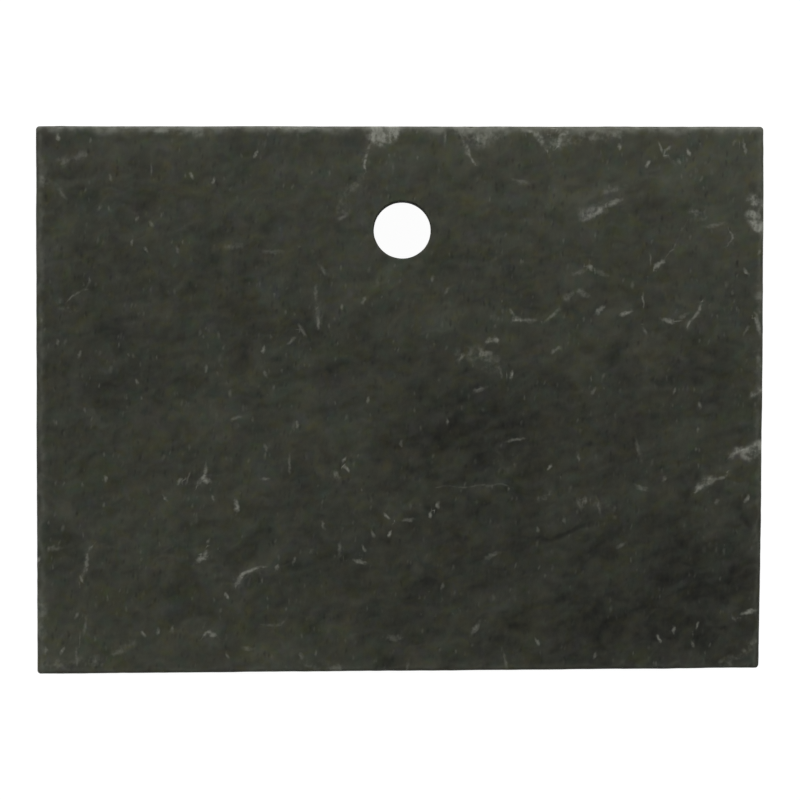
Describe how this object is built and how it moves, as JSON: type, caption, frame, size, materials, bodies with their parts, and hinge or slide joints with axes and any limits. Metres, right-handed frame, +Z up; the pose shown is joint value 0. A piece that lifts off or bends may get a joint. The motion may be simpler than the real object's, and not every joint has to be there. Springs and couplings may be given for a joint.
{
  "type": "granite slab",
  "caption": "Rectangular granite work slab with eased edges and one round through hole near the middle of a long side, on stick-on rubber bumper feet.",
  "frame": {"origin": "on the table, at the bottom of the feet, under the middle of the slab's bounding rectangle", "axes": "+X along the long side, +Y towards the long side that the hole is near, +Z up out of the working face"},
  "size_m": [0.3048, 0.2294, 0.0354],
  "materials": {
    "granite": "matt honed dark greenish-grey stone with fine light flecks and wispy paler veins",
    "foot_rubber": "matt moulded black rubber",
    "adhesive": "matt off-white adhesive foam"
  },
  "bodies": {
    "root": {"granite_slab": "granite", "foot_front_left": "foot_rubber", "foot_front_right": "foot_rubber", "foot_rear_left": "foot_rubber", "foot_rear_right": "foot_rubber", "adhesive_front_left": "adhesive", "adhesive_front_right": "adhesive", "adhesive_rear_left": "adhesive", "adhesive_rear_right": "adhesive"}
  },
  "joints": []
}
